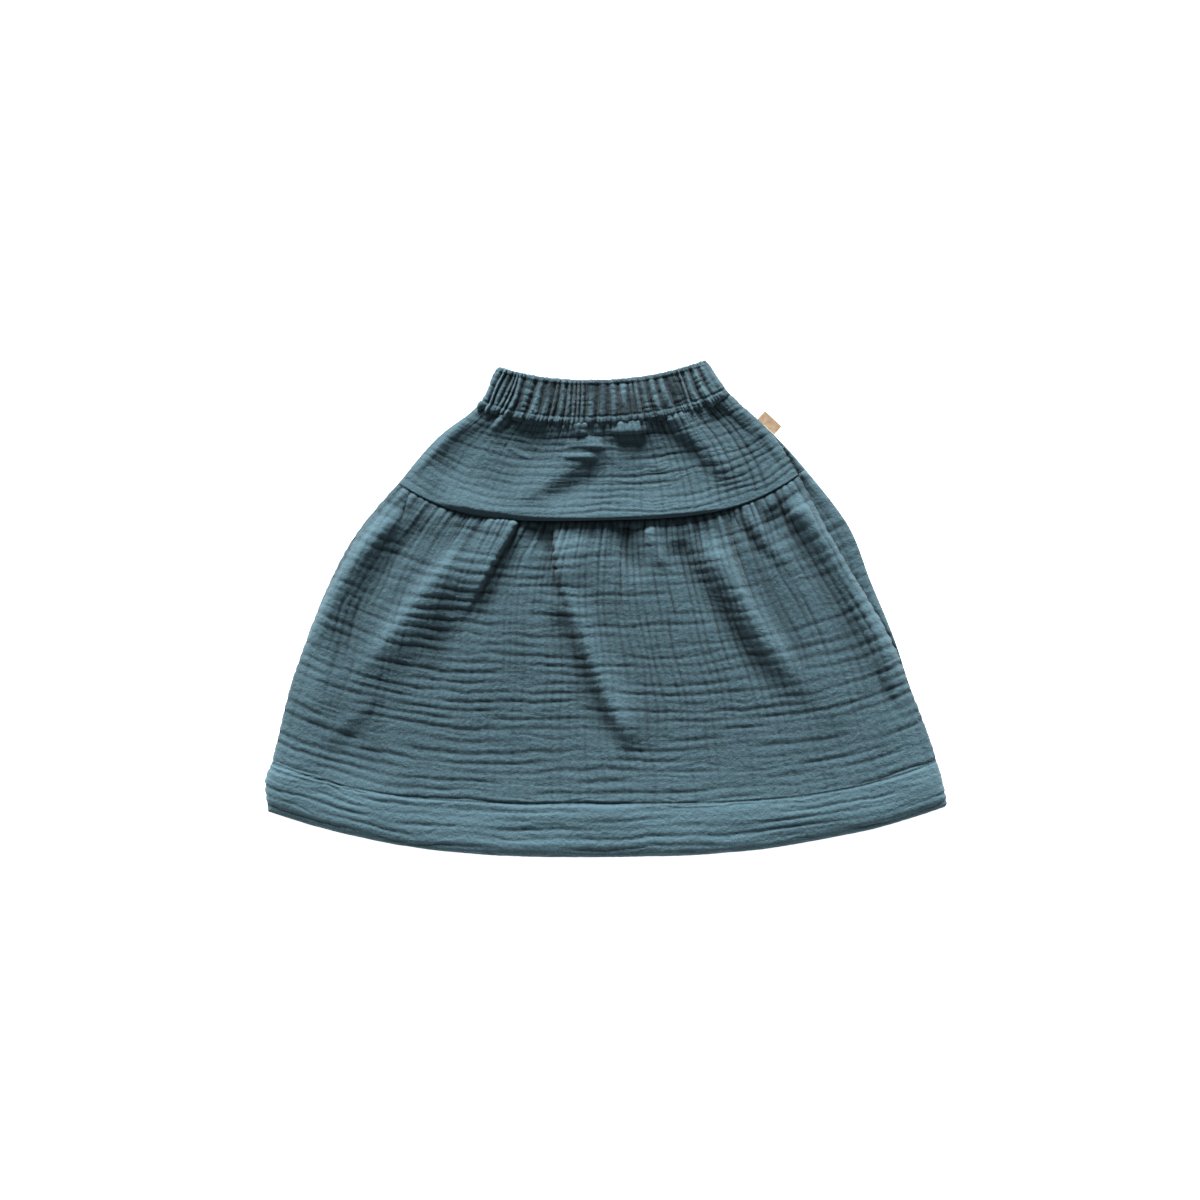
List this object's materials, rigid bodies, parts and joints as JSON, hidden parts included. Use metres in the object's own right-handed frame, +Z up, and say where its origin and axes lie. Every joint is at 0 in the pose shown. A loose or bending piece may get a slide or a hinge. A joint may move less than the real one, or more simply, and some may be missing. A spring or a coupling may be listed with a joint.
{
  "type": "skirt",
  "caption": "Child's tiered skirt in crinkled double gauze laid flat: elastic waistband, plain yoke, gathered lower tier with a turned-up hem, and a small tab at the side seam.",
  "frame": {"origin": "centre of the laid-out skirt's plan, on the surface that it rests on", "axes": "+X across the skirt towards the side with the tab, +Y from the hem to the waist, +Z up out of the front"},
  "size_m": [0.5838, 0.4272, 0.0222],
  "materials": {
    "gauze": "dusty teal blue cotton double gauze, matt, with a soft crinkled grid and a light nap",
    "tape": "plain tan woven tape, matt, folded"
  },
  "bodies": {
    "root": {"waistband_front": "gauze", "waistband_back": "gauze", "yoke_front": "gauze", "yoke_back": "gauze", "tier_front": "gauze", "tier_back": "gauze", "hem_front": "gauze", "hem_back": "gauze", "label_tab": "tape"}
  },
  "joints": []
}
